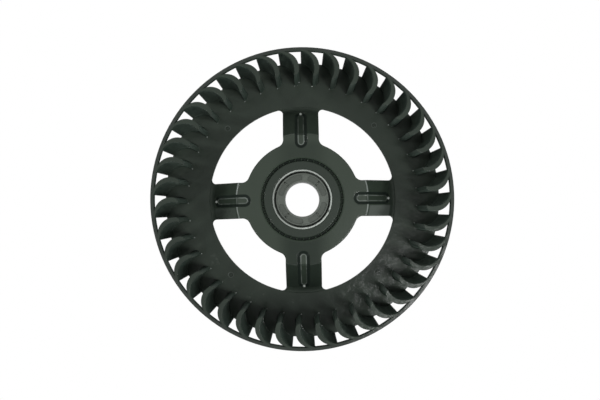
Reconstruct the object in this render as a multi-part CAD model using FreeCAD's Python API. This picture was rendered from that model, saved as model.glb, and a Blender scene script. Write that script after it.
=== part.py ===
import FreeCAD, Part
import math
import os
from FreeCAD import Rotation, Vector

# Centrifugal fan wheel, forward-curved, single inlet. Millimetres and degrees.
# The wheel lies on its back plate: z = 0 is the plate's rear face, the axis is Z and the
# inlet side faces +Z. Angles run clockwise from +Y, seen from the inlet side.

# Whole wheel
outer_diameter = 170.6
wheel_height = 40.0

# Front ring and back plate
ring_wall = 1.8
ring_height = 4.5
plate_thickness = 2.0

# Blades: a crescent between a concave arc and a convex arc, with a rounded nose
blade_count = 41
blade_first_angle = 0.6
blade_depth = 13.6
blade_lean_run = 6.83
blade_concave_radius = 10.0
blade_convex_radius = 9.3
blade_tip_width = 3.3
blade_nose_width = 2.1
blade_nose_round = 2.2
blade_nose_facets = 2
blade_ring_overlap = 0.8

# Dome: a flat top, a straight cone and a rounded foot, one step below the plate's face
web_wall = 2.5
dome_top_height = 32.0
dome_flat_radius = 37.7
dome_bend_bevel = 0.5
dome_foot_radius = 54.8
dome_foot_round = 3.0
dome_foot_facets = 3
plate_step = 0.8

# Windows and the spokes between them
spoke_count = 4
window_inner_radius = 33.0
window_outer_radius = 56.75
spoke_width_at_hub = 20.4
spoke_width_at_plate = 22.0
window_round_at_hub = 4.4
window_round_at_plate = 2.5

# Stiffening bead on each spoke: a channel sunk from the inlet side, with its back bulging behind
bead_start_radius = 29.3
bead_end_radius = 53.4
bead_mouth_width = 7.4
bead_floor_width = 3.6
bead_depth = 1.3
bead_overcut = 0.5
bead_wall = 1.7
bead_side_wall = 1.2
bead_skin = 0.6

# Hub boss, in the middle of the dome
boss_radius = 22.0
boss_rise = 0.5
boss_rear_height = 11.0
boss_edge_bevel = 0.4
groove_width = 1.6
groove_depth = 1.6

# Round gate marks on the back plate
gate_radius = 1.45
gate_nub_radius = 0.65
gate_sides = 8
gate_depth = 0.5

# Metal sleeve, pressed into the boss
sleeve_radius = 17.1
sleeve_wall = 1.2
sleeve_rise = 0.3

# Metal bush, pressed into the sleeve
bore_diameter = 20.0
bush_rear_inset = 1.0
bush_front_inset = 0.5
bush_gap_width = 0.95
bush_gap_depth = 5.0
bush_lip_width = 0.6
bush_lip_rise = 0.4
pocket_depth = 0.5
pocket_bore_margin = 1.0
pocket_lip_margin = 0.15
pocket_outer_corner = 1.2
pocket_inner_corner = 0.5

# Lands between the bush's pockets: a wide one faces a middle one, and the two narrow ones lean to the latter
wide_land_width = 4.9
middle_land_width = 3.5
narrow_land_width = 3.0
narrow_land_lean = 8.0

outer_radius = outer_diameter / 2
tip_radius = outer_radius - ring_wall
blade_nose_radius = tip_radius - blade_depth
plate_inner_radius = window_outer_radius
gate_circle_radius = (plate_inner_radius + blade_nose_radius) / 2
foot_height = plate_thickness - plate_step
boss_front_height = dome_top_height + boss_rise
sleeve_front_height = boss_front_height + sleeve_rise
sleeve_bore_radius = sleeve_radius - sleeve_wall
cone_slope = math.degrees(math.atan2(dome_top_height - foot_height, dome_foot_radius - dome_flat_radius))
cut_margin = 1.0
upright_slack = 1e-4
full_turn = 360.0
axis = Vector(0, 0, 1)
origin = Vector(0, 0, 0)


def unit(vector):
    """Vector of length 1 in the same direction."""
    return vector / vector.Length


def on_circle(radius, angle):
    """Point at a radius and a clockwise angle from +Y."""
    turn = math.radians(angle)
    return Vector(radius * math.sin(turn), radius * math.cos(turn), 0)


def turned(shape, angle):
    """Copy of a shape, turned clockwise about the wheel's axis."""
    copy = shape.copy()
    copy.rotate(origin, axis, -angle)
    return copy


def pattern(shape, count, first_angle=0.0):
    """Evenly spaced copies of a shape round the wheel."""
    return [turned(shape, first_angle + full_turn * index / count) for index in range(count)]


def polygon(points):
    """Flat face with straight edges through its corners."""
    return Part.Face(Part.makePolygon(points + points[:1]))


def revolved(profile):
    """Solid of revolution about Z from corners, each a radius, a height and its bevel's leg, 0 for sharp."""
    corners = [Vector(radius, 0, height) for radius, height, leg in profile]
    points = []
    for index, (radius, height, leg) in enumerate(profile):
        corner = corners[index]
        if leg == 0:
            points.append(corner)
            continue
        before = unit(corners[index - 1] - corner)
        after = unit(corners[(index + 1) % len(corners)] - corner)
        points += [corner + before * leg, corner + after * leg]
    return polygon(points).revolve(origin, axis, full_turn)


def ring_solid(inner, outer, low, high):
    """Plain ring between two radii and two heights."""
    return revolved([(inner, low, 0), (outer, low, 0), (outer, high, 0), (inner, high, 0)])


def arc_centre(start, end, radius):
    """Centre of the arc from start to end that has its hollow side on the left of that way."""
    chord = end - start
    half = chord.Length / 2
    aside = unit(Vector(-chord.y, chord.x, 0))
    return (start + end) / 2 + aside * math.sqrt(radius ** 2 - half ** 2)


def circle_meeting(centre_a, radius_a, centre_b, radius_b, near):
    """Crossing of two circles that lies nearest to a given point."""
    line = centre_b - centre_a
    reach = line.Length
    along = (radius_a ** 2 - radius_b ** 2 + reach ** 2) / (2 * reach)
    aside = math.sqrt(radius_a ** 2 - along ** 2)
    forward = unit(line)
    side = Vector(-forward.y, forward.x, 0)
    foot = centre_a + forward * along
    return min((foot + side * aside, foot - side * aside), key=lambda point: (point - near).Length)


def arc_about(centre, radius, start, end):
    """Short arc about a centre between two points of its circle."""
    middle = (start + end) / 2 - centre
    return Part.Arc(start, centre + unit(middle) * radius, end).toShape()


def facets_about(centre, start, end, count):
    """Straight lines along the arc about a centre, which save faces on a small round."""
    first = start - centre
    sweep = first.getAngle(end - centre) * (1 if first.cross(end - centre).z > 0 else -1)
    points = [start]
    for index in range(1, count):
        spin = Rotation(axis, math.degrees(sweep * index / count))
        points.append(centre + spin.multVec(first))
    points.append(end)
    return [Part.LineSegment(near, far).toShape() for near, far in zip(points, points[1:])]


def blade_section():
    """Outline of a blade: concave face, rounded nose, convex face and the end inside the ring's wall."""
    nose = blade_nose_radius
    concave_tip = on_circle(tip_radius, 0)
    concave_nose = on_circle(nose, math.degrees(blade_lean_run / nose))
    convex_tip = on_circle(tip_radius, math.degrees(blade_tip_width / tip_radius))
    convex_nose = on_circle(nose, math.degrees((blade_lean_run + blade_nose_width) / nose))
    concave_centre = arc_centre(concave_nose, concave_tip, blade_concave_radius)
    convex_centre = arc_centre(convex_nose, convex_tip, blade_convex_radius)

    # The round at the convex side of the nose touches the nose circle and the convex arc.
    size = blade_nose_round
    round_centre = circle_meeting(
        convex_centre, blade_convex_radius - size, origin, nose + size, convex_nose)
    nose_end = unit(round_centre) * nose
    convex_end = convex_centre + unit(round_centre - convex_centre) * blade_convex_radius

    # Past the tip radius the section runs on straight out into the ring's wall.
    concave_out = concave_tip + unit(concave_tip) * blade_ring_overlap
    convex_out = convex_tip + unit(convex_tip) * blade_ring_overlap

    return Part.Wire([
        Part.LineSegment(concave_out, concave_tip).toShape(),
        arc_about(concave_centre, blade_concave_radius, concave_tip, concave_nose),
        Part.LineSegment(concave_nose, nose_end).toShape(),
    ] + facets_about(round_centre, nose_end, convex_end, blade_nose_facets) + [
        arc_about(convex_centre, blade_convex_radius, convex_end, convex_tip),
        Part.LineSegment(convex_tip, convex_out).toShape(),
        Part.LineSegment(convex_out, concave_out).toShape(),
    ])


def blade():
    """One blade, from inside the back plate to the ring's front face."""
    low = plate_thickness / 2
    body = Part.Face(blade_section()).extrude(Vector(0, 0, wheel_height - low))
    body.translate(Vector(0, 0, low))
    below_ring = ring_solid(tip_radius, outer_radius, 0, wheel_height - ring_height)
    return body.cut(below_ring)


def front_ring():
    """Thin ring round the blades' front ends."""
    return ring_solid(tip_radius, outer_radius, wheel_height - ring_height, wheel_height)


def dome_and_plate():
    """Dome and back plate as one turned form, with the groove round the boss."""
    slope = math.radians(cone_slope)
    underside = dome_top_height - web_wall
    # The cone's inner face is the outer one moved in by the wall.
    inner_flat_radius = dome_flat_radius - web_wall * math.tan(slope / 2)
    inner_foot_radius = inner_flat_radius + underside / math.tan(slope)
    groove_radius = boss_radius + groove_width
    groove_floor = dome_top_height - groove_depth
    # The round at the cone's foot is cut into straight facets, which save faces.
    foot_run = dome_foot_round * math.tan(slope / 2)
    foot = []
    for index in range(dome_foot_facets + 1):
        turn = slope * index / dome_foot_facets
        radius = dome_foot_radius + foot_run - dome_foot_round * math.sin(turn)
        height = foot_height + dome_foot_round * (1 - math.cos(turn))
        foot.append((radius, height, 0))
    return revolved([
        (boss_radius, underside, 0),
        (inner_flat_radius, underside, 0),
        (inner_foot_radius, 0, 0),
        (tip_radius, 0, 0),
        (tip_radius, plate_thickness, 0),
        (plate_inner_radius, plate_thickness, 0),
        (plate_inner_radius, foot_height, 0),
    ] + foot + [
        (dome_flat_radius, dome_top_height, dome_bend_bevel),
        (groove_radius, dome_top_height, 0),
        (groove_radius, groove_floor, 0),
        (boss_radius, groove_floor, 0),
    ])


def hub_boss():
    """Boss that holds the metal sleeve, from behind the dome to just above its face."""
    return revolved([
        (sleeve_radius, boss_rear_height, 0),
        (boss_radius, boss_rear_height, 0),
        (boss_radius, boss_front_height, boss_edge_bevel),
        (sleeve_radius, boss_front_height, 0),
    ])


def upright_edges(shape):
    """Edges of a shape that run straight up, parallel to the axis."""
    return [edge for edge in shape.Edges if abs(edge.BoundBox.ZLength - edge.Length) < upright_slack]


def distance_from_axis(edge):
    """Radius at which an upright edge stands."""
    return math.hypot(edge.CenterOfMass.x, edge.CenterOfMass.y)


def tapering_bar(inner, outer, low, high, width_at_inner, width_at_outer):
    """Upright bar from the axis out along +Y and past a ring, as wide as given at the ring's two radii."""
    widening = (width_at_outer - width_at_inner) / (outer - inner)
    far_end = 2 * outer
    half_at_axis = (width_at_inner - widening * inner) / 2
    half_at_end = half_at_axis + widening * far_end / 2
    floor = polygon([
        Vector(-half_at_axis, 0, low),
        Vector(half_at_axis, 0, low),
        Vector(half_at_end, far_end, low),
        Vector(-half_at_end, far_end, low),
    ])
    return floor.extrude(Vector(0, 0, high - low))


def windows():
    """The four openings between the spokes, with rounded corners."""
    span = (window_inner_radius, window_outer_radius, -cut_margin, wheel_height)
    spoke = tapering_bar(*span, spoke_width_at_hub, spoke_width_at_plate)
    middle = (window_inner_radius + window_outer_radius) / 2
    openings = []
    for sector in ring_solid(*span).cut(pattern(spoke, spoke_count)).Solids:
        near = [edge for edge in upright_edges(sector) if distance_from_axis(edge) < middle]
        sector = sector.makeFillet(window_round_at_hub, near)
        far = [edge for edge in upright_edges(sector) if distance_from_axis(edge) > middle]
        openings.append(sector.makeFillet(window_round_at_plate, far))
    return openings


def bead_form(low, width_low, high, width_high, round_ends):
    """Bar that follows a spoke over the dome's bend.

    It lies between two heights above the spoke's face, and is as wide as given at each of them.
    """
    slope = math.radians(cone_slope)
    down_the_cone = Vector(0, math.cos(slope), -math.sin(slope))
    outward = Vector(0, 1, 0)
    bend = Vector(0, dome_flat_radius, dome_top_height)
    mitre = unit(outward + down_the_cone)
    cone_run = (bead_end_radius - dome_flat_radius) / math.cos(slope)
    half_mouth = bead_mouth_width / 2
    flat_leg = (Vector(0, bead_start_radius + half_mouth, dome_top_height), outward)
    cone_leg = (bend + down_the_cone * (cone_run - half_mouth), down_the_cone * -1)
    solids = []
    for start, along in (flat_leg, cone_leg):
        across = Vector(-1, 0, 0) if along.z == 0 else Vector(1, 0, 0)
        normal = along.cross(across)
        corners = [
            start + across * (width_low / 2) + normal * low,
            start + across * (width_high / 2) + normal * high,
            start - across * (width_high / 2) + normal * high,
            start - across * (width_low / 2) + normal * low,
        ]
        reach = along.dot(mitre)
        mitred = [corner + along * ((bend - corner).dot(mitre) / reach) for corner in corners]
        outlines = [Part.makePolygon(points + points[:1]) for points in (corners, mitred)]
        solids.append(Part.makeLoft(outlines, True, True))
        if round_ends:
            half_end = polygon([start + normal * low, corners[0], corners[1], start + normal * high])
            solids.append(half_end.revolve(start, normal, full_turn / 2))
    return solids[0].multiFuse(solids[1:])


def many_sided(radius, sides, low, high):
    """Upright prism, close to a round pin but with few faces."""
    corners = [on_circle(radius, full_turn * index / sides) for index in range(sides)]
    prism = polygon(corners).extrude(Vector(0, 0, high - low))
    prism.translate(Vector(0, 0, low))
    return prism


def gate_mark():
    """Gate mark sunk in the plate, with a small nub left in its middle, midway between two spokes."""
    floor = plate_thickness - gate_depth
    top = plate_thickness + cut_margin
    nub = many_sided(gate_nub_radius, gate_sides, floor, top)
    mark = many_sided(gate_radius, gate_sides, floor, top).cut(nub)
    mark.translate(on_circle(gate_circle_radius, full_turn / spoke_count / 2))
    return mark


def impeller_wheel():
    """The moulded wheel: dome, spokes, hub boss, back plate, blades and front ring in one."""
    body = dome_and_plate()
    bead_slant = (bead_mouth_width - bead_floor_width) / bead_depth
    bead_back = bead_form(
        -bead_depth - bead_wall, bead_floor_width + 2 * bead_side_wall,
        -bead_skin, bead_mouth_width + 2 * bead_side_wall, round_ends=False)
    bead_channel = bead_form(
        -bead_depth, bead_floor_width,
        bead_overcut, bead_mouth_width + bead_slant * bead_overcut, round_ends=True)
    body = body.multiFuse([hub_boss()] + pattern(bead_back, spoke_count))
    body = body.cut(
        windows() + pattern(bead_channel, spoke_count) + pattern(gate_mark(), spoke_count))
    blades = pattern(blade(), blade_count, blade_first_angle)
    return body.multiFuse([front_ring()] + blades).removeSplitter()


def hub_sleeve():
    """Thin metal ring that lines the boss."""
    return ring_solid(sleeve_bore_radius, sleeve_radius, boss_rear_height, sleeve_front_height)


def hub_bush():
    """Bush with the wheel's bore, a raised lip near its rim and shallow pockets in its face."""
    bore_radius = bore_diameter / 2
    rear = boss_rear_height + bush_rear_inset
    front = sleeve_front_height - bush_front_inset
    lip_radius = sleeve_bore_radius - bush_gap_width
    bush = revolved([
        (bore_radius, rear, 0),
        (sleeve_bore_radius, rear, 0),
        (sleeve_bore_radius, front - bush_gap_depth, 0),
        (lip_radius, front - bush_gap_depth, 0),
        (lip_radius, front + bush_lip_rise, 0),
        (lip_radius - bush_lip_width, front + bush_lip_rise, 0),
        (lip_radius - bush_lip_width, front, 0),
        (bore_radius, front, 0),
    ])
    pocket_inner = bore_radius + pocket_bore_margin
    pocket_outer = lip_radius - bush_lip_width - pocket_lip_margin
    span = (pocket_inner, pocket_outer, front - pocket_depth, front + cut_margin)
    quarter = full_turn / 4
    lands = [
        turned(tapering_bar(*span, width, width), angle)
        for width, angle in (
            (narrow_land_width, narrow_land_lean),
            (middle_land_width, quarter),
            (narrow_land_width, 2 * quarter - narrow_land_lean),
            (wide_land_width, 3 * quarter))
    ]
    middle = (pocket_inner + pocket_outer) / 2
    pockets = []
    for pocket in ring_solid(*span).cut(lands).Solids:
        near = [edge for edge in upright_edges(pocket) if distance_from_axis(edge) < middle]
        pocket = pocket.makeChamfer(pocket_inner_corner, near)
        far = [edge for edge in upright_edges(pocket) if distance_from_axis(edge) > middle]
        pockets.append(pocket.makeChamfer(pocket_outer_corner, far))
    return bush.cut(pockets)


def main():
    os.makedirs("parts", exist_ok=True)
    for make in (impeller_wheel, hub_sleeve, hub_bush):
        # Each piece is one solid.
        (solid,) = make().Solids
        name = make.__name__
        print(name, solid.isValid(), round(solid.Volume, 1), solid.BoundBox)
        solid.exportStep("parts/" + name + ".step")


main()
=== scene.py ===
# %% [markdown]
# # Centrifugal fan wheel
# A black moulded fan wheel lies on its back plate. A ring of curved blades stands between a thin front
# ring and the plate, and a dome on spokes carries the metal-lined hub. The solids come from the CAD
# frame. This scene gives them their finishes, adds the small fillets at the blades' feet and the fine
# ribs round the hub with Geometry Nodes, and sets up the light and the camera.

# %% Load the frame
import math
from types import SimpleNamespace
import bpy
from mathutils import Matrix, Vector


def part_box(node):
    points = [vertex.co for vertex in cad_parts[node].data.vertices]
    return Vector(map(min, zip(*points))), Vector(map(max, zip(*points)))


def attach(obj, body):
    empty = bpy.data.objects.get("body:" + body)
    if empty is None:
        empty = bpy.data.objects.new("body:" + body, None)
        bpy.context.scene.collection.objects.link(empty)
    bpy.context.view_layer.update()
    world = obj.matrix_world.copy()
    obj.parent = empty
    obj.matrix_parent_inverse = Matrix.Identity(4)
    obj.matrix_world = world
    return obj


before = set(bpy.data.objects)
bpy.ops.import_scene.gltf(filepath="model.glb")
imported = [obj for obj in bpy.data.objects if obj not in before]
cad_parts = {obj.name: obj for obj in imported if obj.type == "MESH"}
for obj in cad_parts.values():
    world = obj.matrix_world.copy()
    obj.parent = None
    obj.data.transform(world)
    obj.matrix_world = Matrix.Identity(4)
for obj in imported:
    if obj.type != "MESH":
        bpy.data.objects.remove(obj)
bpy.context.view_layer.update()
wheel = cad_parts["impeller_wheel"]
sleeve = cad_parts["hub_sleeve"]
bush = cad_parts["hub_bush"]
MM = 0.001

# %% [markdown]
# ## Sizes
# The frame gives the outside sizes: half the wheel's width is the ring's outer radius, and the top of
# its box is the ring's front face. The height of the plate's face and the number of blades can't be
# read from a box, so they are given here as values.

# %% Measure the wheel
wheel_low, wheel_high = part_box("impeller_wheel")
outer_radius = wheel_high.x
front_height = wheel_high.z
plate_top = 2.0 * MM
blade_count = 41
print("ring radius %.1f mm, front at %.1f mm" % (outer_radius / MM, front_height / MM))

# %% [markdown]
# ## Small helpers for node trees
# Every finish is a node tree on the object's own coordinates, so that it stays on the piece from any
# side. The helpers add a node, feed its sockets and write a formula as a chain of Math nodes, which
# keeps the cells that follow short. They serve the Geometry Nodes trees as well.

# %% Node helpers
def add(tree, kind, **settings):
    """A node with its properties set by name."""
    node = tree.nodes.new(kind)
    for name, value in settings.items():
        setattr(node, name, value)
    return node


def feed(tree, socket, value):
    """Link an output to a socket, or write a plain value on it."""
    if isinstance(value, bpy.types.NodeSocket):
        tree.links.new(value, socket)
    else:
        socket.default_value = value


def feed_by_name(tree, node, values):
    """Feed several of a node's inputs, each by its name."""
    for name, value in values.items():
        feed(tree, node.inputs[name], value)


def feed_in_order(tree, node, *values):
    """Feed a node's first inputs in their own order."""
    for socket, value in zip(node.inputs, values):
        feed(tree, socket, value)


def maths(tree, operation, *values):
    """One Math node on sockets or numbers."""
    node = add(tree, "ShaderNodeMath", operation=operation)
    feed_in_order(tree, node, *values)
    return node.outputs[0]


def vector_of(tree, x, y, z):
    """One vector from three sockets or numbers."""
    node = add(tree, "ShaderNodeCombineXYZ")
    feed_in_order(tree, node, x, y, z)
    return node.outputs[0]


def diagonal(tree, leg, other_leg):
    """Length of the straight line across two legs at right angles."""
    squares = maths(tree, "ADD", maths(tree, "MULTIPLY", leg, leg),
                    maths(tree, "MULTIPLY", other_leg, other_leg))
    return maths(tree, "SQRT", squares)


# %% [markdown]
# ## Small helpers for finishes
# A finish starts from an empty material. The helpers below give it soft ramps, noise, blended
# colours and a fine relief, and tell where a point lies on its piece. The last one puts a finish on a
# CAD node, whose mesh is right and stays as it is.

# %% Finish helpers
def new_material(name):
    """An empty node material with its output and a Principled shader."""
    material = bpy.data.materials.new(name)
    material.use_nodes = True
    tree = material.node_tree
    tree.nodes.clear()
    output = add(tree, "ShaderNodeOutputMaterial")
    shader = add(tree, "ShaderNodeBsdfPrincipled")
    feed(tree, output.inputs["Surface"], shader.outputs["BSDF"])
    return material, tree, shader


def ramp(tree, value, low, high, start=0.0, end=1.0):
    """Smooth change from start to end while the value goes from low to high."""
    node = add(tree, "ShaderNodeMapRange", interpolation_type="SMOOTHSTEP")
    feed_by_name(tree, node, {"Value": value, "From Min": low, "From Max": high,
                              "To Min": start, "To Max": end})
    return node.outputs["Result"]


def noise(tree, vector, scale, detail=3.0, roughness=0.6):
    """Noise between 0 and 1, with its scale in features per metre."""
    node = add(tree, "ShaderNodeTexNoise")
    feed_by_name(tree, node, {"Vector": vector, "Scale": scale, "Detail": detail,
                              "Roughness": roughness})
    return node.outputs["Fac"]


def mix_colour(tree, factor, colour_a, colour_b):
    """Blend of two colours or colour sockets."""
    node = add(tree, "ShaderNodeMix", data_type="RGBA")
    # The node has sockets for each kind of value. These are the factor and the two colours.
    for number, value in ((0, factor), (6, colour_a), (7, colour_b)):
        feed(tree, node.inputs[number], value)
    # Its third output is the blended colour.
    return node.outputs[2]


def place_of_point(tree):
    """Where a point lies: its position, x, y, height and radius from the axis, as named sockets."""
    at = SimpleNamespace()
    at.place = add(tree, "ShaderNodeTexCoord").outputs["Object"]
    split = add(tree, "ShaderNodeSeparateXYZ")
    feed_in_order(tree, split, at.place)
    at.x, at.y, at.height = split.outputs
    at.radius = diagonal(tree, at.x, at.y)
    return at


def relief(tree, height, depth, edge_radius):
    """Normal from a height field, over edges rounded in the shading."""
    bevel = add(tree, "ShaderNodeBevel", samples=6)
    feed_by_name(tree, bevel, {"Radius": edge_radius})
    bump = add(tree, "ShaderNodeBump")
    feed_by_name(tree, bump, {"Height": height, "Distance": depth, "Normal": bevel.outputs[0]})
    return bump.outputs[0]


def dress(part, finish):
    """Give a CAD node its finish."""
    part.data.materials.clear()
    part.data.materials.append(finish)
    print(finish.name, "with", len(finish.node_tree.nodes), "nodes on", part.name)


# %% [markdown]
# ## Masks
# A finish that changes from zone to zone needs masks, which go from 0 outside a zone to 1 inside it. A
# ramp up and a ramp down mark a zone softly, and masks multiply where two limits hold at once. Their
# limits are written in millimetres, as on a drawing.

# %% Mask helpers
def product(tree, *masks):
    """Masks multiplied together."""
    result = masks[0]
    for mask in masks[1:]:
        result = maths(tree, "MULTIPLY", result, mask)
    return result


def strongest(tree, *masks):
    """The largest of several masks."""
    result = masks[0]
    for mask in masks[1:]:
        result = maths(tree, "MAXIMUM", result, mask)
    return result


def scaled(tree, mask, factor, base=0.0):
    """A mask times a factor, plus a base."""
    return maths(tree, "MULTIPLY_ADD", mask, factor, base)


def rise(tree, value, start, full, low=0.0, high=1.0):
    """Mask that goes from low at start to high at full, both places in millimetres."""
    return ramp(tree, value, start * MM, full * MM, low, high)


def fall(tree, value, fade, end, high=1.0, low=0.0):
    """Mask that goes from high at fade to low at end, both places in millimetres."""
    return ramp(tree, value, fade * MM, end * MM, high, low)


def band(tree, value, start, full, fade, end):
    """Mask that rises from start to full and falls from fade to end, in millimetres."""
    return product(tree, rise(tree, value, start, full), fall(tree, value, fade, end))


def thin_line(tree, value, middle, core, reach, strength=1.0):
    """Mask of a thin line where the value is near its middle, in millimetres."""
    away = maths(tree, "ABSOLUTE", maths(tree, "SUBTRACT", value, middle * MM))
    return fall(tree, away, core, reach, strength)


def distance_from_spot(tree, x, y, spot):
    """Distance in the plane from a spot given in millimetres."""
    node = add(tree, "ShaderNodeVectorMath", operation="DISTANCE")
    feed_in_order(tree, node, vector_of(tree, x, y, 0.0), (spot[0] * MM, spot[1] * MM, 0.0))
    return node.outputs["Value"]


# %% [markdown]
# ## Places on the wheel
# The wheel is round and its four spokes are alike, so a zone is told by its radius, its height and its
# distance from the bead, the oblong dish in the middle of the nearest spoke. Taking X and Y without
# their signs folds the four spokes onto one, which saves a mask for each.

# %% Places on the wheel
def places_on_wheel(tree):
    """The place of a point on the wheel in all the ways that its zones need, as named sockets."""
    at = place_of_point(tree)
    at.side = maths(tree, "ABSOLUTE", at.x)
    at.up = maths(tree, "ABSOLUTE", at.y)
    at.along = maths(tree, "MAXIMUM", at.side, at.up)
    at.across = maths(tree, "MINIMUM", at.side, at.up)
    bead_middle = 41.35 * MM
    bead_half_length = 8.35 * MM
    from_middle = maths(tree, "ABSOLUTE", maths(tree, "SUBTRACT", at.along, bead_middle))
    past_end = maths(tree, "MAXIMUM", maths(tree, "SUBTRACT", from_middle, bead_half_length), 0.0)
    at.from_bead = diagonal(tree, past_end, at.across)
    at.raised = rise(tree, at.height, 2.2, 5.0)
    at.dome = product(tree, at.raised, fall(tree, at.radius, 57.0, 58.5))
    at.plate_front = band(tree, at.height, 1.2, 1.4, 2.2, 2.6)
    return at


# %% [markdown]
# ## Dark zones
# A photograph of black plastic shows mostly what the plastic mirrors, such as the dark parts of a room
# and the walls next to it. The plain white room of this scene mirrors evenly from all sides, so walls,
# beads and groove would come out too light and flat. The masks in the next two cells darken those zones
# in the finish itself. They stand in for shade and reflections and aren't paint on the real wheel. Each
# one is tied to a place on the wheel, so it looks the same from every side.

# %% Dark zones of the beads and the blades
def bead_outline(tree, at):
    """The slope round a bead's floor."""
    return product(tree, band(tree, at.from_bead, 1.7, 2.3, 3.3, 3.8), at.raised)


def blade_walls(tree, at):
    """The blades' upright walls, weaker towards their feet."""
    return product(tree, band(tree, at.radius, 70.0, 71.5, 83.4, 83.7),
                   band(tree, at.height, 2.2, 4.0, 39.0, 39.7),
                   rise(tree, at.height, 6.0, 32.0, low=0.35))


def wall_streaks(tree, at):
    """Noise drawn out along the axis that breaks the walls' painted shade into streaks of painted
    reflection.
    """
    drawn_out = add(tree, "ShaderNodeVectorMath", operation="MULTIPLY")
    feed_in_order(tree, drawn_out, at.place, (1.0, 1.0, 0.15))
    return ramp(tree, noise(tree, drawn_out.outputs[0], 420.0), 0.35, 0.65)


def blade_noses(tree, at):
    """The blunt inner ends of the blades."""
    return product(tree, band(tree, at.radius, 68.5, 69.2, 70.8, 72.5),
                   band(tree, at.height, 3.0, 5.0, 39.3, 39.8))


# %% Dark zones of the hub, the dome and the plate
groove_inside = (21.6, 21.9)
groove_floor_height = (29.5, 30.0)


def boss_face(tree, at):
    """The flat face round the metal parts."""
    return product(tree, fall(tree, at.radius, 21.8, 22.1), rise(tree, at.height, 31.9, 32.3))


def groove_floor(tree, at):
    """The groove below the tops of its ribs, darkest on the Y axis."""
    return product(tree, band(tree, at.radius, *groove_inside, 23.7, 24.0),
                   band(tree, at.height, *groove_floor_height, 30.7, 31.5),
                   fall(tree, at.side, 12.0, 22.0, low=0.5))


def groove_walls(tree, at):
    """The groove from its floor up to the edges."""
    return product(tree, band(tree, at.radius, *groove_inside, 24.1, 24.5),
                   rise(tree, at.height, *groove_floor_height))


def dome_band(tree, at):
    """A dark band across the dome along Y, deeper towards -Y."""
    return product(tree, fall(tree, at.side, 6.0, 18.0),
                   fall(tree, at.y, -20.0, 20.0, high=0.55, low=0.3),
                   fall(tree, at.y, 30.0, 36.0),
                   rise(tree, at.radius, 23.5, 25.0),
                   rise(tree, at.from_bead, 1.4, 1.9), at.dome)


def plate_patch(tree, at):
    """A dark patch on the plate's front towards -Y."""
    return product(tree, fall(tree, at.y, -62.0, -50.0, high=0.35),
                   fall(tree, at.side, 12.0, 45.0), at.plate_front)


def mottle(tree, at):
    """Broad darker clouds on the plate and the blades."""
    clouds = ramp(tree, noise(tree, at.place, 30.0), 0.42, 0.62, 0.0, 0.4)
    return product(tree, clouds, scaled(tree, at.dome, -1.0, 1.0))


# %% [markdown]
# ## Pale zones
# Where a moulding bends sharply it catches a thin line of light. The bend of the dome, the edge of a
# bead's floor, the far end of a bead and the rims of the four small round gate marks each get such a
# line as a painted highlight. The first two are broken up by noise. Two half slopes of the spokes
# along X are paler too, as they would be beside a bright wall. These tones also stand in for light,
# and so do the faint pale smears on the plate inside the noses, which are a painted reflection.

# %% Pale zones
def bright_edges(tree, at):
    """The dome's bend, strongest near the X axis, and the edge of a bead's floor."""
    bend_radius = 37.75
    bead_floor_edge = 1.55
    bend = product(tree, thin_line(tree, at.radius, bend_radius, 0.15, 0.6),
                   rise(tree, at.side, 24.0, 36.0, low=0.12))
    floor_edge = thin_line(tree, at.from_bead, bead_floor_edge, 0.1, 0.45, strength=0.5)
    broken = ramp(tree, noise(tree, at.place, 150.0, detail=2.0, roughness=0.5), 0.35, 0.6, 0.25, 1.0)
    return product(tree, strongest(tree, bend, floor_edge), broken, at.dome)


def gate_rims(tree, at):
    """The rims of the four gate marks on the plate's front."""
    gate_spot = (44.76, 44.76)
    gate_radius = 1.5
    from_gate = distance_from_spot(tree, at.side, at.up, gate_spot)
    return product(tree, thin_line(tree, from_gate, gate_radius, 0.1, 0.4, strength=0.2),
                   at.plate_front)


def bead_far_ends(tree, at):
    """A glint where a bead meets the foot of the dome."""
    far_end = (52.3, 0.0)
    return product(tree, fall(tree, distance_from_spot(tree, at.along, at.across, far_end), 0.3, 1.0),
                   rise(tree, at.height, 2.5, 3.0))


def painted_reflection_smears(tree, at):
    """Ragged pale patches of painted reflection on the plate's front inside the noses, on the half
    towards -Y.
    """
    patches = ramp(tree, noise(tree, at.place, 95.0, detail=4.0, roughness=0.65), 0.56, 0.70)
    return product(tree, patches, band(tree, at.radius, 59.0, 63.0, 67.0, 70.5),
                   fall(tree, at.y, -38.0, -18.0, high=0.10), at.plate_front)


def pale_half_slopes(tree, at):
    """The half towards -Y of the slopes along X, stronger at +X."""
    towards_minus_y = maths(tree, "MULTIPLY", at.y, -1.0)
    return product(tree, rise(tree, towards_minus_y, 3.6, 4.6),
                   rise(tree, at.radius, 38.2, 39.5),
                   rise(tree, at.side, 30.0, 36.0),
                   rise(tree, at.x, -36.0, 36.0, low=0.25, high=0.7), at.dome)


# %% [markdown]
# ## Black moulded plastic
# The wheel is one moulding in black plastic with a faint green cast. Such plastic has two kinds of
# sheen at once: a broad haze, and a thin, sharper gloss that mirrors the room. One lobe can't give
# both, so the shader's own lobe is the haze and its coat is the gloss, stronger on the smooth dome than
# on the blades. Two noises cloud and speckle the colour, a finer grain and a slow swell give the
# surface its tooth, and the Bevel node rounds the edges in the shading, because mould edges are never
# quite sharp. The zones of the cells above, painted shade and painted light, are then laid over the
# colour one after the other, and a little painted shade darkens the front faces and the dome.

# %% Colour of the plastic
def shared_zones(tree, at):
    """The zones that the colour and the coat both need, as named masks."""
    zones = SimpleNamespace()
    zones.bead = bead_outline(tree, at)
    zones.wall = blade_walls(tree, at)
    zones.nose = blade_noses(tree, at)
    zones.dark_band = dome_band(tree, at)
    return zones


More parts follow.
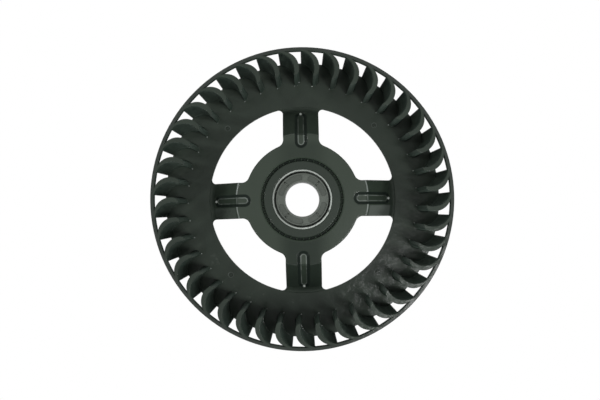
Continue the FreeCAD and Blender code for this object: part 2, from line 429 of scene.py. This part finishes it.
def plastic_colour(tree, at, zones, cloud):
    """The clouded colour with its zones, mostly painted shade and painted light, laid over it one after
    the other.
    """
    near_black = (0.005, 0.009, 0.007, 1)
    deep_green = (0.007, 0.017, 0.012, 1)
    pale = (0.24, 0.27, 0.25, 1)
    bright = (0.5, 0.54, 0.5, 1)
    ring = rise(tree, at.radius, 83.4, 83.8)
    front = rise(tree, at.height, 39.3, 39.8)
    speck = ramp(tree, noise(tree, at.place, 900.0, detail=2.0), 0.66, 0.80, 0.0, 0.35)
    streaked = product(tree, zones.wall, scaled(tree, wall_streaks(tree, at), -0.6, 0.95))
    off_the_beads = scaled(tree, zones.bead, -1.0, 1.0)
    edges = product(tree, bright_edges(tree, at), off_the_beads)
    colour = mix_colour(tree, cloud, (0.031, 0.042, 0.0325, 1), (0.047, 0.060, 0.048, 1))
    for strength, tone in (
            (scaled(tree, ring, 0.6), (0.043, 0.047, 0.044, 1)),
            (scaled(tree, at.dome, 0.5), (0.032, 0.048, 0.030, 1)),
            (speck, (0.09, 0.10, 0.09, 1)),
            (scaled(tree, zones.bead, 0.9), near_black),
            (streaked, deep_green),
            # Painted shade: the front faces and the dome are darkened a little.
            (scaled(tree, strongest(tree, front, at.dome), 0.2), near_black),
            (scaled(tree, zones.nose, 0.65), deep_green),
            (scaled(tree, boss_face(tree, at), 0.45), near_black),
            (scaled(tree, groove_floor(tree, at), 0.85), near_black),
            (zones.dark_band, near_black),
            (plate_patch(tree, at), near_black),
            (mottle(tree, at), (0.020, 0.026, 0.021, 1)),
            (pale_half_slopes(tree, at), (0.15, 0.17, 0.155, 1)),
            # Painted reflection: pale smears on the plate towards -Y.
            (painted_reflection_smears(tree, at), bright),
            (strongest(tree, edges, gate_rims(tree, at)), pale),
            (bead_far_ends(tree, at), bright)):
        colour = mix_colour(tree, strength, colour, tone)
    return colour


# %% Gloss and surface of the plastic
def plastic_coat(tree, at, zones):
    """Weight of the coat: more on the dome, and less in the dark zones."""
    dark = strongest(tree, zones.wall, zones.nose, groove_walls(tree, at), zones.bead)
    return product(tree, scaled(tree, at.dome, 0.24, 0.15), scaled(tree, dark, -0.8, 1.0),
                   scaled(tree, zones.dark_band, -0.8, 1.0))


def plastic_surface(tree, at):
    """Normal from a fine grain on a slow swell, with a calmer swell on the dome."""
    grain = noise(tree, at.place, 2600.0, detail=2.0, roughness=0.55)
    swell = noise(tree, at.place, 120.0, detail=2.0, roughness=0.5)
    height = maths(tree, "MULTIPLY_ADD", swell, scaled(tree, at.dome, -12.0, 14.0), grain)
    return relief(tree, height, 0.02 * MM, scaled(tree, at.dome, 0.5 * MM, 0.4 * MM))


# %% Moulded plastic
def moulded_plastic():
    """The wheel's own finish."""
    material, tree, shader = new_material("moulded_plastic")
    at = places_on_wheel(tree)
    zones = shared_zones(tree, at)
    cloud = noise(tree, at.place, 45.0, detail=4.0)
    surface = plastic_surface(tree, at)
    feed_by_name(tree, shader, {
        "Base Color": plastic_colour(tree, at, zones, cloud),
        "Roughness": scaled(tree, cloud, 0.10, 0.55),
        "Specular IOR Level": 0.08,
        "Coat Weight": plastic_coat(tree, at, zones),
        "Coat Roughness": 0.13,
        "Sheen Weight": 0.05,
        "Sheen Roughness": 0.4,
        "Sheen Tint": (0.75, 1.0, 0.85, 1),
        "Normal": surface,
        "Coat Normal": surface})
    return material


plastic = moulded_plastic()
dress(wheel, plastic)

# %% [markdown]
# ## Glossy fillets
# The fillets at the blades' feet look glossier than the rest, and at some noses a fillet glints. They
# have the same plastic with a full coat. A fillet is too small to catch a lamp in the render at every
# nose, so its colour is paler there in patches, which stands in for the glint.

# %% Glossy plastic
def glossy_plastic():
    """The same plastic with a full coat, paler in patches at the noses."""
    material, tree, shader = new_material("glossy_plastic")
    at = place_of_point(tree)
    patches = ramp(tree, noise(tree, at.place, 300.0, detail=2.0, roughness=0.5), 0.35, 0.6, 0.2, 1.0)
    glints = product(tree, fall(tree, at.radius, 69.8, 70.5), patches)
    feed_by_name(tree, shader, {
        "Base Color": mix_colour(tree, glints, (0.034, 0.048, 0.038, 1), (0.34, 0.37, 0.35, 1)),
        "Roughness": 0.5,
        "Specular IOR Level": 0.1,
        "Coat Weight": 1.0,
        "Coat Roughness": 0.12})
    return material


gloss = glossy_plastic()
print("finish for the fillets:", gloss.name)

# %% [markdown]
# ## Turned steel sleeve
# The sleeve is the bright ring round the hub. Only the flat crown of its front edge is bright. The
# rounded flanks beside it mirror the dark plastic, and the colour falls off on both sides of the crown
# as a painted reflection. The real ring is worn: its bright edge is ragged and has one dark nick. It is
# also painted dimmer on one side, which is painted shade. Noise added to the radius makes the edge
# ragged, and a small dark spot is the nick. Fine circles from the turning tool run round it. It is a
# metal, so its colour tints what it mirrors.

# %% Turned steel
def crown_wear_and_painted_shade(tree, at, cloud):
    """Mask of the bright crown: ragged and dark at the nick as wear, with a painted reflection falling
    off at its flanks and painted shade towards -X.
    """
    raggedness = 0.7 * MM
    nick = (14.6, -6.9)
    ragged = scaled(tree, noise(tree, at.place, 500.0), raggedness, -raggedness / 2)
    edge = maths(tree, "ADD", at.radius, ragged)
    # The falls at both edges are a painted reflection, and the dimmer -X side is painted shade. The
    # noise and the nick are wear.
    return product(tree, rise(tree, edge, 16.1, 16.35), fall(tree, edge, 16.85, 17.1, low=0.2),
                   rise(tree, at.x, -16.0, -6.0, low=0.65), scaled(tree, cloud, 0.8, 0.45),
                   rise(tree, distance_from_spot(tree, at.x, at.y, nick), 0.5, 0.9))


def turned_steel():
    """Bright steel whose worn crown carries painted shade and reflection, with the fine circles of a
    turning tool.
    """
    material, tree, shader = new_material("turned_steel")
    at = place_of_point(tree)
    cloud = noise(tree, at.place, 110.0)
    # The crown mask carries painted reflection and painted shade besides the wear.
    crown = crown_wear_and_painted_shade(tree, at, cloud)
    # Radians per metre of radius: one circle about every tenth of a millimetre.
    circles = maths(tree, "SINE", maths(tree, "MULTIPLY", at.radius, 60000.0))
    feed_by_name(tree, shader, {
        "Metallic": 1.0,
        "Base Color": mix_colour(tree, crown, (0.04, 0.045, 0.04, 1), (0.26, 0.28, 0.26, 1)),
        "Roughness": scaled(tree, cloud, 0.2, 0.35),
        "Normal": relief(tree, circles, 0.004 * MM, 0.2 * MM)})
    return material


dress(sleeve, turned_steel())

# %% [markdown]
# ## Dull bush
# The bush inside the sleeve is a dull grey metal with a fine open grain, as if pressed from powder. Its
# four shallow pockets get painted shade, a darker colour below its face, so the finish has to know how
# high that face is. The top of the bush's box is its raised lip, and the face lies a little below.

# %% Sintered metal
lip_rise = 0.4 * MM
bush_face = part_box("hub_bush")[1].z - lip_rise


def sintered_metal():
    """Dull metal with an open grain, with painted shade in the pockets below the bush's face."""
    material, tree, shader = new_material("sintered_metal")
    at = place_of_point(tree)
    grain = noise(tree, at.place, 1500.0)
    smear = noise(tree, at.place, 260.0)
    metal = mix_colour(tree, grain, (0.045, 0.053, 0.045, 1), (0.092, 0.103, 0.090, 1))
    # Painted shade: the colour darkens in the pockets below the face.
    sunk = ramp(tree, at.height, bush_face - 0.45 * MM, bush_face - 0.1 * MM, 0.45, 0.0)
    feed_by_name(tree, shader, {
        "Metallic": 0.7,
        "Base Color": mix_colour(tree, sunk, metal, (0.03, 0.035, 0.03, 1)),
        "Roughness": scaled(tree, smear, 0.3, 0.32),
        "Normal": relief(tree, grain, 0.03 * MM, 0.12 * MM)})
    return material


dull_metal = sintered_metal()
dress(bush, dull_metal)

# %% [markdown]
# ## Pieces that repeat round the axis
# The fillets and the ribs repeat round the wheel's axis, which is a rule, so Geometry Nodes make them.
# Each tree takes its sizes as named inputs. One helper starts a tree with those inputs, and a second
# puts a shape on every step of a full turn and ends the tree with real faces and the finish. The last
# one runs a tree and keeps the result as a plain mesh.

# %% Geometry Nodes helpers
def new_geometry_tree(name, sizes):
    """A tree with a geometry input and output, and one named input for each size."""
    tree = bpy.data.node_groups.new(name, "GeometryNodeTree")
    tree.interface.new_socket(name="Geometry", in_out="INPUT", socket_type="NodeSocketGeometry")
    tree.interface.new_socket(name="Geometry", in_out="OUTPUT", socket_type="NodeSocketGeometry")
    for size, value in sizes.items():
        kind = "NodeSocketInt" if isinstance(value, int) else "NodeSocketFloat"
        tree.interface.new_socket(name=size, in_out="INPUT", socket_type=kind)
    return tree, add(tree, "NodeGroupInput").outputs


def repeat_and_end(tree, shape, given, finish):
    """Copies of a shape at even steps of a full turn, clockwise, as real smooth faces."""
    points = add(tree, "GeometryNodePoints")
    feed_by_name(tree, points, {"Count": given["Count"]})
    index = add(tree, "GeometryNodeInputIndex").outputs[0]
    steps = maths(tree, "MULTIPLY", index, maths(tree, "DIVIDE", math.tau, given["Count"]))
    turn = maths(tree, "MULTIPLY", maths(tree, "ADD", steps, given["First angle"]), -1.0)
    copies = add(tree, "GeometryNodeInstanceOnPoints")
    feed_by_name(tree, copies, {"Points": points.outputs[0], "Instance": shape,
                                "Rotation": vector_of(tree, 0.0, 0.0, turn)})
    real = add(tree, "GeometryNodeRealizeInstances")
    feed_in_order(tree, real, copies.outputs[0])
    smooth = add(tree, "GeometryNodeSetShadeSmooth")
    feed_in_order(tree, smooth, real.outputs[0])
    finished = add(tree, "GeometryNodeSetMaterial")
    feed_by_name(tree, finished, {"Geometry": smooth.outputs[0], "Material": finish})
    feed_in_order(tree, add(tree, "NodeGroupOutput"), finished.outputs[0])


def make_piece(name, tree, sizes, start=None):
    """Run a tree with its sizes and keep the result as a plain mesh that rides on the wheel."""
    piece = bpy.data.objects.new(name, start or bpy.data.meshes.new(name))
    bpy.context.scene.collection.objects.link(piece)
    modifier = piece.modifiers.new(name, "NODES")
    modifier.node_group = tree
    for socket in tree.interface.items_tree:
        if socket.name in sizes:
            modifier[socket.identifier] = sizes[socket.name]
    graph = bpy.context.evaluated_depsgraph_get()
    plain = bpy.data.meshes.new_from_object(piece.evaluated_get(graph))
    piece.modifiers.clear()
    piece.data = plain
    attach(piece, "root")
    print(name, len(plain.polygons), "faces")


# %% [markdown]
# ## Fillets at the blades' feet
# On the real wheel each blade grows out of the back plate through a small fillet, which catches the
# light round every foot. A blade's foot runs along a concave and a convex arc between the ring and a
# nose, so its outline is drawn once from those arcs. The tree then sweeps a hollow corner section along
# the outline and repeats it for every blade. A bevel in the CAD would need many more faces for
# something this small.

# %% Outline of a blade's foot
def on_circle(radius, way):
    """Point on a circle round the axis, a way along it clockwise from +Y."""
    return Vector((radius * math.sin(way / radius), radius * math.cos(way / radius)))


def arc_through(start, end, radius, steps):
    """Points on the arc between two ends that has its hollow side on the left of that way."""
    chord = end - start
    aside = Vector((-chord.y, chord.x)).normalized()
    centre = (start + end) / 2 + aside * math.sqrt(radius ** 2 - chord.length_squared / 4)
    first = math.atan2(start.y - centre.y, start.x - centre.x)
    sweep = 2 * math.asin(chord.length / 2 / radius)
    turns = [first + sweep * step / steps for step in range(steps + 1)]
    return [centre + Vector((math.cos(turn), math.sin(turn))) * radius for turn in turns]


ring_wall = 1.8 * MM
tip_radius = outer_radius - ring_wall
tip_width = 3.3 * MM
nose_radius = 69.9 * MM
nose_lean = 6.83 * MM
nose_width = 2.1 * MM
arc_steps = 14
concave_side = arc_through(on_circle(nose_radius, nose_lean), on_circle(tip_radius, 0),
                           10.0 * MM, arc_steps)
convex_side = arc_through(on_circle(nose_radius, nose_lean + nose_width),
                          on_circle(tip_radius, tip_width), 9.3 * MM, arc_steps)
# The ends at the ring stay clear of the plate's rim, and the nose is cut to its round.
foot_line = concave_side[-2::-1] + convex_side[2:-1]
foot_mesh = bpy.data.meshes.new("blade_foot")
foot_mesh.from_pydata([(point.x, point.y, plate_top) for point in foot_line],
                      [(index, index + 1) for index in range(len(foot_line) - 1)], [])
print("foot outline of", len(foot_line), "points")

# %% Root fillets
def root_fillet_tree(sizes, finish):
    """Sweep a hollow corner along the foot's outline and repeat it for every blade."""
    tree, given = new_geometry_tree("root_fillets", sizes)
    path = add(tree, "GeometryNodeMeshToCurve")
    feed_in_order(tree, path, given["Geometry"])
    upright = add(tree, "GeometryNodeSetCurveNormal", mode="Z_UP")
    feed_in_order(tree, upright, path.outputs[0])
    size = given["Fillet"]
    sunk = given["Sunk"]
    inward = maths(tree, "MULTIPLY", sunk, -1.0)
    up = maths(tree, "MULTIPLY", size, -1.0)
    # The middle of a hollow quarter circle lies this share of its radius off both walls.
    hollow = maths(tree, "MULTIPLY", size, 0.29)
    hollow_up = maths(tree, "MULTIPLY", hollow, -1.0)
    # The corners: inside the foot, up the blade's wall, the hollow's middle, and out on the plate.
    corners = ((inward, sunk), (inward, up), (hollow, hollow_up), (size, sunk))
    section = add(tree, "GeometryNodeCurvePrimitiveQuadrilateral", mode="POINTS")
    for number, (across, down) in enumerate(corners, 1):
        feed_by_name(tree, section, {"Point %d" % number: vector_of(tree, across, down, 0.0)})
    sweep = add(tree, "GeometryNodeCurveToMesh")
    feed_by_name(tree, sweep, {"Curve": upright.outputs[0], "Profile Curve": section.outputs[0],
                               "Fill Caps": True})
    repeat_and_end(tree, sweep.outputs[0], given, finish)
    return tree


fillet_sizes = {"Count": blade_count, "First angle": math.radians(0.6),
                "Fillet": 0.9 * MM, "Sunk": 0.15 * MM}
fillet_tree = root_fillet_tree(fillet_sizes, gloss)
make_piece("root_fillets", fillet_tree, fillet_sizes, foot_mesh)

# %% [markdown]
# ## Fine ribs round the hub
# The groove round the boss is crossed by many fine ribs, seen as a ladder of light and dark steps, and
# each pocket in the bush's face has a low rib in its middle. Both are the same form: a bar with a round
# back, laid across a channel along a radius. One tree makes both from different sizes.

# %% Crossing ribs
def crossing_rib_tree(name, sizes, finish):
    """Bars with a round back, laid along the radius at even steps round the axis."""
    tree, given = new_geometry_tree(name, sizes)
    bar = add(tree, "GeometryNodeMeshCylinder")
    feed_by_name(tree, bar, {"Vertices": 14, "Radius": 1.0, "Depth": 1.0})
    laid = add(tree, "GeometryNodeTransform")
    feed_by_name(tree, laid, {"Geometry": bar.outputs["Mesh"], "Rotation": (math.pi / 2, 0, 0)})
    half_width = maths(tree, "MULTIPLY", given["Width"], 0.5)
    shaped = add(tree, "GeometryNodeTransform")
    feed_by_name(tree, shaped, {
        "Geometry": laid.outputs[0],
        "Scale": vector_of(tree, half_width, given["Length"], given["Rise"]),
        "Translation": vector_of(tree, 0.0, given["Radius"], given["Floor"])})
    repeat_and_end(tree, shaped.outputs[0], given, finish)
    return tree


groove_sizes = {"Count": 40, "First angle": 0.0, "Radius": 22.8 * MM, "Length": 1.7 * MM,
                "Width": 1.1 * MM, "Rise": 1.0 * MM, "Floor": 30.4 * MM}
groove_tree = crossing_rib_tree("groove_ribs", groove_sizes, plastic)
make_piece("groove_ribs", groove_tree, groove_sizes)

pocket_depth = 0.5 * MM
pocket_sizes = {"Count": 4, "First angle": math.radians(45), "Radius": 12.6 * MM, "Length": 3.3 * MM,
                "Width": 0.9 * MM, "Rise": 0.35 * MM, "Floor": bush_face - pocket_depth}
pocket_tree = crossing_rib_tree("pocket_ribs", pocket_sizes, dull_metal)
make_piece("pocket_ribs", pocket_tree, pocket_sizes)

# %% [markdown]
# ## Floor and room
# The wheel lies on a plain white floor in a white room, as in a product photograph. Metal and gloss
# mirror that white, so the floor and the room show it to reflected rays as well as to the camera, while
# the light that falls on the object stays at a plain level. The photograph's background is pure white
# right up to the ring, with no shadow on it, and a floor that shows white to the camera gives that.

# %% Floor and room
def white_to_viewers(tree, output, lighting, white):
    """Show one shader to the camera, mirrors and glass, and light the object by the other."""
    path = add(tree, "ShaderNodeLightPath")
    mirrored = maths(tree, "MAXIMUM", path.outputs["Is Glossy Ray"], path.outputs["Is Transmission Ray"])
    seen = maths(tree, "MAXIMUM", path.outputs["Is Camera Ray"], mirrored)
    mix = add(tree, "ShaderNodeMixShader")
    feed_in_order(tree, mix, seen, lighting.outputs[0], white.outputs[0])
    feed(tree, output.inputs["Surface"], mix.outputs[0])


def pale_floor():
    """Pale matt floor that shows plain white."""
    material = bpy.data.materials.new("pale_floor")
    material.use_nodes = True
    tree = material.node_tree
    tree.nodes.clear()
    matt = add(tree, "ShaderNodeBsdfDiffuse")
    feed_by_name(tree, matt, {"Color": (0.8, 0.8, 0.8, 1)})
    glow = add(tree, "ShaderNodeEmission")
    white_to_viewers(tree, add(tree, "ShaderNodeOutputMaterial"), matt, glow)
    return material


def white_room():
    """World that lights the object softly and shows plain white."""
    world = bpy.data.worlds.new("studio")
    world.use_nodes = True
    tree = world.node_tree
    tree.nodes.clear()
    soft = add(tree, "ShaderNodeBackground")
    feed_by_name(tree, soft, {"Color": (0.35, 0.35, 0.35, 1)})
    white = add(tree, "ShaderNodeBackground")
    feed_by_name(tree, white, {"Color": (1, 1, 1, 1)})
    white_to_viewers(tree, add(tree, "ShaderNodeOutputWorld"), soft, white)
    return world


half_floor = 1.5
floor_height = wheel_low.z - 0.05 * MM
floor_mesh = bpy.data.meshes.new("studio_floor")
floor_mesh.from_pydata([(x * half_floor, y * half_floor, floor_height)
                        for x, y in ((-1, -1), (1, -1), (1, 1), (-1, 1))], [], [(0, 1, 2, 3)])
floor_mesh.materials.append(pale_floor())
studio_floor = bpy.data.objects.new("studio_floor", floor_mesh)
bpy.context.scene.collection.objects.link(studio_floor)
bpy.context.scene.world = white_room()
bpy.context.scene.view_settings.view_transform = "Standard"
print("floor at %.2f mm" % (floor_height / MM))

# %% [markdown]
# ## Studio light
# A lamp behind the camera would mirror in the flat plate, so the main softbox stands 20 degrees off the
# axis. Three more stand lower on the right and on the left, where only edges and slopes turn towards
# them. The weakest one stands almost above the wheel and lays a faint glare on the lower right of the
# ring and the plate. All five stand at the same distance, so that their powers can be compared.

# %% Lamps
lamp_distance = 0.9


def softbox(name, size, power, azimuth, elevation):
    """Square area lamp that looks at the wheel, its azimuth counted from +X towards +Y."""
    lamp = bpy.data.lights.new(name, "AREA")
    lamp.size = size
    lamp.energy = power
    box = bpy.data.objects.new(name, lamp)
    bpy.context.scene.collection.objects.link(box)
    turn = math.radians(azimuth)
    lift = math.radians(elevation)
    way = Vector((math.cos(lift) * math.cos(turn), math.cos(lift) * math.sin(turn), math.sin(lift)))
    box.location = way * lamp_distance
    box.rotation_euler = way.to_track_quat("Z", "Y").to_euler()
    print(name, power, "W from", azimuth, "degrees round and", elevation, "degrees up")


softbox("top_softbox", 0.15, 2.4, -40, 70)
softbox("glare_softbox", 0.12, 0.08, -25, 80)
softbox("right_softbox", 0.12, 2.0, -18, 40)
softbox("left_softbox", 0.12, 1.4, 168, 40)
softbox("lower_left_softbox", 0.12, 1.2, 212, 28)

# %% [markdown]
# ## Camera
# The photograph looks straight down on the wheel from a short distance, so the back plate is drawn
# smaller than the front ring. How much smaller fixes only the ratio of the wheel's width to the
# camera's distance, and the distance below goes with the width in the CAD. The point straight under
# the camera is a little off the image's middle, which a small shift reproduces, and the wheel is turned
# by about a degree, which the camera's roll takes.

# %% Photograph's camera
image_width = 600
image_height = 400
focal_px = 751.5
foot_px = (304.2, 209.6)
camera_above_front = 421.5 * MM
foot_from_axis = (0.97 * MM, -5.87 * MM)
roll = math.radians(-1.25)

lens = bpy.data.cameras.new("photo_camera")
lens.sensor_fit = "HORIZONTAL"
lens.sensor_width = 36.0
lens.lens = focal_px / image_width * lens.sensor_width
lens.shift_x = (image_width / 2 - foot_px[0]) / image_width
lens.shift_y = (foot_px[1] - image_height / 2) / image_width
lens.clip_start = 0.01
camera = bpy.data.objects.new("photo_camera", lens)
bpy.context.scene.collection.objects.link(camera)
camera.location = (foot_from_axis[0], foot_from_axis[1], front_height + camera_above_front)
camera.rotation_euler = (0, 0, roll)
bpy.context.scene.camera = camera
print("camera at", tuple(round(value / MM, 1) for value in camera.location), "mm")
